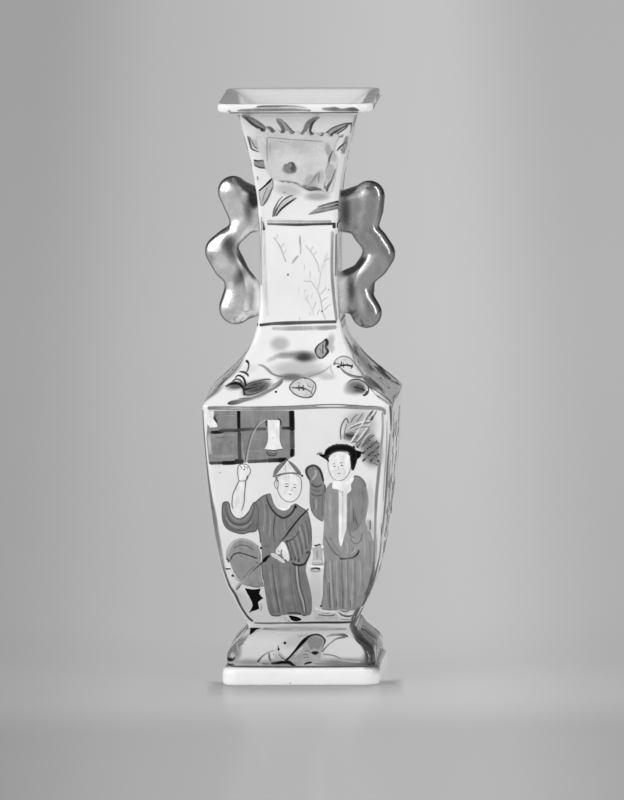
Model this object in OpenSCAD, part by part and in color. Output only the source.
// Small square baluster vase of glazed porcelain, cast in one piece with two
// scroll handles on the neck, and a torn gummed paper label stuck on the flare.
// Units are millimetres. Z is up, the painted main face looks along -Y, and
// the foot stands on z = 0 with the middle of the vase on the Z axis.

/* [Heights] */
// Height of the plain base slab
slab_h = 4.1; // [3.4:0.1:5]
// Height of the splayed foot above the slab
foot_h = 8.9; // [8:0.1:10]
// Height of the body from the waist to the shoulder edge
body_h = 52.6; // [46:0.2:60]
// Height of the concave shoulder
shoulder_h = 19; // [17:0.2:22]
// Height of the straight neck
neck_h = 21.7; // [20:0.1:25]
// Height of the flare under the lip
flare_h = 25.5; // [23:0.1:28]
// Height of the thick lip
lip_h = 3.2; // [2.8:0.1:4]

/* [Widths across the flats] */
// Base slab
slab_w = 36.6; // [36:0.1:40]
// Foot of the painted splay, just over the slab
foot_w = 34.6; // [33:0.1:35]
// Waist over the foot
waist_w = 24.9; // [24:0.1:27]
// Widest part, at the shoulder edge
shoulder_w = 43.9; // [40:0.1:46]
// Neck
neck_w = 18.2; // [17.4:0.1:19]
// Flare where it meets the lip
mouth_w = 26.8; // [25:0.1:28]
// Lip
rim_w = 36.2; // [34:0.1:38]

/* [Corners and walls] */
// Corner radius of slab and foot
slab_r = 3.4; // [2.4:0.1:4]
// Corner radius of body and shoulder
body_r = 1.7; // [1.2:0.1:2.4]
// Corner radius of the neck
neck_r = 1.1; // [0.8:0.1:1.6]
// Corner radius of the lip
rim_r = 3.2; // [2.6:0.1:4.2]
// Thickness of the porcelain wall
wall = 2.9; // [2.4:0.1:3.2]
// Depth of the recess under the foot
recess_h = 5.6; // [4.2:0.1:6]

/* [Handles] */
// How far the handles stand out from the neck
handle_out = 13.2; // [11.5:0.1:14.6]
// Height the handles cover on the neck
handle_h = 35; // [33:0.1:37]
// Thickness of the handles from front to back
handle_t = 5; // [4.2:0.1:6]
// Rounding of the handle edges
handle_edge = 1.4; // [1:0.1:1.8]

/* [Paper label] */
// Level of the label's middle above the neck
label_up = 14.6; // [14:0.1:16]
// Thickness of the gummed paper
label_t = 0.2; // [0.15:0.01:0.3]
// Clearance between paper and glaze
label_gap = 0.02; // [0.01:0.01:0.05]
// Spacing of the perforations along its top edge
perforation = 2.25; // [2.1:0.01:2.4]

/* [Hidden] */

corner_steps = 5;
// Levels made between two points of a curve
curve_steps = 2;
z_foot = slab_h;
z_waist = z_foot + foot_h;
z_shoulder = z_waist + body_h;
z_neck = z_shoulder + shoulder_h;
z_flare = z_neck + neck_h;
z_lip = z_flare + flare_h;
z_top = z_lip + lip_h;
// Half widths where the neck ends, a little fuller than in its middle
neck_low = neck_w / 2 + 0.35;
neck_high = neck_w / 2 + 0.1;

// Curve of each stretch as pairs of height fraction and width fraction
foot_curve = [[0, 0], [0.16, 0], [0.27, 0.02], [0.37, 0.06], [0.48, 0.185], [0.67, 0.54],
    [0.84, 0.82], [1, 1]];
body_curve = [[0, 0], [0.025, 0.04], [0.05, 0.12], [0.12, 0.31], [0.22, 0.53], [0.34, 0.68],
    [0.58, 0.845], [0.8, 0.95], [0.95, 1], [1, 1]];
shoulder_curve = [[0, 0], [0.06, 0.08], [0.15, 0.22], [0.31, 0.47], [0.5, 0.71], [0.7, 0.88],
    [0.88, 0.965], [1, 1]];
flare_curve = [[0, 0], [0.22, 0.08], [0.45, 0.27], [0.63, 0.47], [0.81, 0.74], [1, 1]];
// Lip from its underside round to its top
lip_curve = [[0.13, 0.32], [0.25, 0.64], [0.32, 0.83], [0.39, 0.95], [0.47, 1], [0.84, 1],
    [0.94, 0.975], [1, 0.92]];

function mix(a, b, t) = a + (b - a) * t;
// Tangent at a point of a curve, as width over height
function slope(c, i) =
    let (a = c[max(i - 1, 0)], b = c[min(i + 1, len(c) - 1)])
    (b[1] - a[1]) / (b[0] - a[0]);
// Point at t between points i and i + 1, on a cubic through both
function between(c, i, t) =
    let (h = c[i + 1][0] - c[i][0])
    [c[i][0] + h * t,
     c[i][1] * (2 * t * t * t - 3 * t * t + 1) + c[i + 1][1] * (3 * t * t - 2 * t * t * t)
        + h * slope(c, i) * (t * t * t - 2 * t * t + t) + h * slope(c, i + 1) * (t * t * t - t * t)];
function smooth(c) = concat(
    [for (i = [0:len(c) - 2]) for (k = [0:curve_steps - 1]) between(c, i, k / curve_steps)],
    [c[len(c) - 1]]);
// Levels of one stretch: level, half width and corner radius
function stretch(points, z0, z1, a0, a1, r0, r1) =
    [for (p = points) [mix(z0, z1, p[0]), mix(a0, a1, p[1]), mix(r0, r1, p[0])]];

// Outside of the vase from the foot ring up to the lip
slab_edge = 0.6;
slab_side = slab_w / 2;
slab_levels = [
    [0, slab_side - slab_edge * 0.85, slab_r - 0.4],
    [slab_edge * 0.4, slab_side - slab_edge * 0.2, slab_r - 0.1],
    [slab_edge * 1.2, slab_side, slab_r],
    [slab_h - slab_edge * 1.5, slab_side, slab_r],
    [slab_h - slab_edge * 0.6, slab_side - slab_edge * 0.25, slab_r],
    [slab_h - 0.05, slab_side - slab_edge, slab_r - 0.3]
];
foot_r = slab_r - 0.4;
waist_r = body_r - 0.3;
foot_levels = stretch(smooth(foot_curve), z_foot, z_waist, foot_w / 2, waist_w / 2, foot_r, waist_r);
body_levels = stretch(smooth(body_curve), z_waist, z_shoulder, waist_w / 2, shoulder_w / 2, waist_r, body_r);
outer = concat(
    slab_levels,
    [for (p = foot_levels) if (p[0] > z_foot) p],
    [for (p = body_levels) if (p[0] > z_waist && p[0] < z_shoulder) p],
    stretch(smooth(shoulder_curve), z_shoulder, z_neck, shoulder_w / 2, neck_low, body_r, neck_r),
    [[mix(z_neck, z_flare, 0.17), neck_high, neck_r], [mix(z_neck, z_flare, 0.5), neck_w / 2, neck_r]],
    stretch(smooth(flare_curve), z_flare, z_lip, neck_high, mouth_w / 2, neck_r, neck_r + 0.4),
    stretch(lip_curve, z_lip, z_top, mouth_w / 2, rim_w / 2, neck_r + 1.2, rim_r)
);
outer_width = [for (p = outer) [p[0], p[1]]];
function half_at(z) = lookup(z, outer_width);

// Inside, a wall's thickness in from the outside, measured square to the surface
reach = 1.5;
function lean_at(z) = (half_at(z + reach) - half_at(z - reach)) / (2 * reach);
function inside_at(z) = half_at(z) - wall * sqrt(1 + pow(lean_at(z), 2));
inside_r = 1.3;
floor_z = recess_h + wall;
mouth_drop = 3;
inner = concat(
    [[z_top, rim_w / 2 - 2, rim_r - 1.2], [z_top - 0.35, rim_w / 2 - 2.7, rim_r - 1.4],
     [z_top - 1.4, mouth_w / 2 + 0.5, 2.3], [z_top - mouth_drop, mouth_w / 2 - 1.6, 1.9]],
    [for (i = [len(outer) - 1:-1:0])
        let (z = outer[i][0])
        if (z < z_top - mouth_drop - 1.5 && z > z_waist + mouth_drop) [z, inside_at(z), inside_r]],
    [[z_waist + 0.6, waist_w / 2 - wall * 1.25, 1.6], [z_waist - 1.6, waist_w / 2 - wall * 1.8, 1.8],
     [floor_z + 0.4, waist_w / 2 - wall * 2.5, 1.8], [floor_z, waist_w / 2 - wall * 2.9, 1.6]]
);

// Recess under the foot, from its ceiling down to the foot ring
foot_ring = 3.5;
recess = [
    [recess_h, waist_w / 2 - 3.4, 2], [recess_h - 0.4, waist_w / 2 - 2.4, 2.2],
    [recess_h - 1.4, waist_w / 2 - 1, 2.4], [0.5, slab_w / 2 - foot_ring - 0.6, 2.6],
    [0, slab_w / 2 - foot_ring, 2.8]
];

function ring(z, a, r) = [for (k = [0:3]) for (i = [0:corner_steps])
    let (t = -90 + 90 * k + 90 * i / corner_steps,
         sx = k < 2 ? 1 : -1,
         sy = (k == 0 || k == 3) ? -1 : 1)
    [sx * (a - r) + r * cos(t), sy * (a - r) + r * sin(t), z]];

module loft(levels) {
    n = 4 * (corner_steps + 1);
    m = len(levels);
    points = [for (p = levels) each ring(p[0], p[1], p[2])];
    sides = [for (j = [0:m - 2]) for (i = [0:n - 1])
        [j * n + i, (j + 1) * n + i, (j + 1) * n + (i + 1) % n, j * n + (i + 1) % n]];
    polyhedron(points = points,
        faces = concat([[for (i = [0:n - 1]) i]], sides,
            [[for (i = [0:n - 1]) (m - 1) * n + n - 1 - i]]),
        convexity = 10);
}

// Handle stations: distance from the neck's face, level above the neck's lower end,
// and half width of the band there
left_band = [
    [6.4, 28.3, 3.65], [4.9, 24.9, 3.6], [3.7, 22.3, 3.7], [5.2, 19.0, 2.3], [7.6, 17.2, 2.7],
    [9.3, 14.4, 3.85], [7.6, 11.3, 3.8], [5.6, 8.6, 3.1], [5.1, 5.2, 3.6], [6.1, 1.2, 3.95]
];
right_band = [
    [6.9, 27.1, 3.65], [6.6, 24.4, 3.7], [5.9, 21.2, 3.4], [5.9, 18.8, 3.1], [8.0, 16.4, 3.2],
    [9.1, 13.7, 3.75], [7.8, 11.3, 3.5], [5.3, 8.7, 3.0], [3.9, 6.1, 3.0], [4.6, 2.7, 3.4], [6.0, -0.1, 3.6]
];
// Webs that join the bands to the neck over and under the gap
left_upper_web = [[6.4, 28.3, 3.3], [0.6, 26.4, 2.6], [0.6, 21.7, 3.0], [3.7, 22.3, 3.6]];
left_lower_web = [[5.6, 8.6, 3.1], [0.1, 3.1, 2.2], [0.1, 1.7, 2.0], [4.7, 1.1, 3.0]];
right_upper_web = [[6.9, 27.1, 3.3], [0.5, 25.7, 2.6], [0.5, 21.4, 2.7], [5.9, 21.2, 3.3]];
right_lower_web = [[5.3, 8.7, 2.9], [0.5, 6.7, 2.9], [0.3, 2.2, 2.4], [4.6, 2.7, 3.1]];

// The webs are this much thinner than the bands
web_step = 0.8;
band_reach = 13.2;
band_height = 35;
reach_scale = handle_out / band_reach;
height_scale = handle_h / band_height;
band_middle = 14.4;

// Rounded disc standing on edge, its axis along Y
side_crown = 0.25;
module disc(p, t) {
    e = min(handle_edge, p[2] * 0.6);
    half = t / 2;
    rim = [[p[2] - e, side_crown], [p[2] - 0.3 * e, side_crown + 0.28 * e], [p[2], 1.1 * e]];
    out = neck_w / 2 + p[0] * reach_scale;
    up = z_neck + band_middle + (p[1] - band_middle) * height_scale;
    translate([out, 0, up])
        rotate([90, 0, 0])
            rotate_extrude($fn = 16)
                polygon(concat([[0, -half]], [for (q = rim) [q[0], q[1] - half]],
                    [for (i = [2:-1:0]) [rim[i][0], half - rim[i][1]]], [[0, half]]));
}

module band(stations) {
    for (i = [0:len(stations) - 2])
        hull() {
            disc(stations[i], handle_t);
            disc(stations[i + 1], handle_t);
        }
}

module web(stations) {
    hull()
        for (p = stations)
            disc(p, handle_t - web_step);
}

module vase() {
    color([0.93, 0.93, 0.92])
        union() {
            loft(concat(recess, outer, inner));
            band(right_band);
            web(right_upper_web);
            web(right_lower_web);
            mirror([1, 0, 0]) {
                band(left_band);
                web(left_upper_web);
                web(left_lower_web);
            }
        }
}

// Outline of the label in X and Z about its middle, without the perforations
label_outline = [
    [-10.2, 8.0], [-8.4, 7.9], [8.8, 6.7], [9.5, 6.2], [9.0, 5.3], [8.3, 3.9], [8.1, 3.1], [8.2, 2.2],
    [8.9, 0.8], [8.8, -0.9], [8.3, -3.2], [7.9, -5.5], [7.4, -6.8], [6.4, -7.5], [5.6, -6.9],
    [4.0, -6.7], [2.7, -6.8], [1.0, -6.1], [0.4, -5.5], [-0.8, -5.0], [-2.4, -4.7], [-3.8, -4.6],
    [-5.2, -4.3], [-6.5, -3.8], [-7.4, -2.4], [-8.1, -1.3], [-8.4, 0.5], [-9.3, 2.6], [-9.7, 4.7]
];
// Tear near the right edge
label_tear = [
    [6.8, 1.3], [7.1, -0.6], [7.9, -0.9], [7.6, -2.2], [6.7, -4.8], [6.1, -6.1], [5.7, -5.5],
    [6.3, -3.6], [5.9, -2.2], [6.5, -0.8]
];
label_x = 0.6;
label_reach = 9.2;
label_strip = 24;
perforations = 8;
perforation_r = 0.72;
// The perforated edge starts here and slopes down to the right
perforated_from = [-8.3, 7.94];
perforated_slope = 0.069;

module label_shape() {
    difference() {
        polygon(label_outline);
        polygon(label_tear);
        for (i = [0:perforations])
            translate(perforated_from + i * perforation * [1, -perforated_slope])
                circle(r = perforation_r, $fn = 20);
    }
}

module paper_label() {
    low = z_flare + label_up - label_reach;
    high = z_flare + label_up + label_reach;
    mid = [for (p = outer_width) if (p[0] > low && p[0] < high) p];
    run = concat([[low, half_at(low)]], mid, [[high, half_at(high)]]);
    back = [for (p = run) [-p[1] - label_gap, p[0]]];
    front = [for (i = [len(run) - 1:-1:0]) [-run[i][1] - label_gap - label_t, run[i][0]]];
    color([0.84, 0.83, 0.8])
        intersection() {
            translate([-label_strip / 2, 0, 0])
                rotate([90, 0, 90])
                    linear_extrude(height = label_strip)
                        polygon(concat(back, front));
            translate([label_x, 0, z_flare + label_up])
                rotate([90, 0, 0])
                    linear_extrude(height = mouth_w)
                        label_shape();
        }
}

vase();
paper_label();
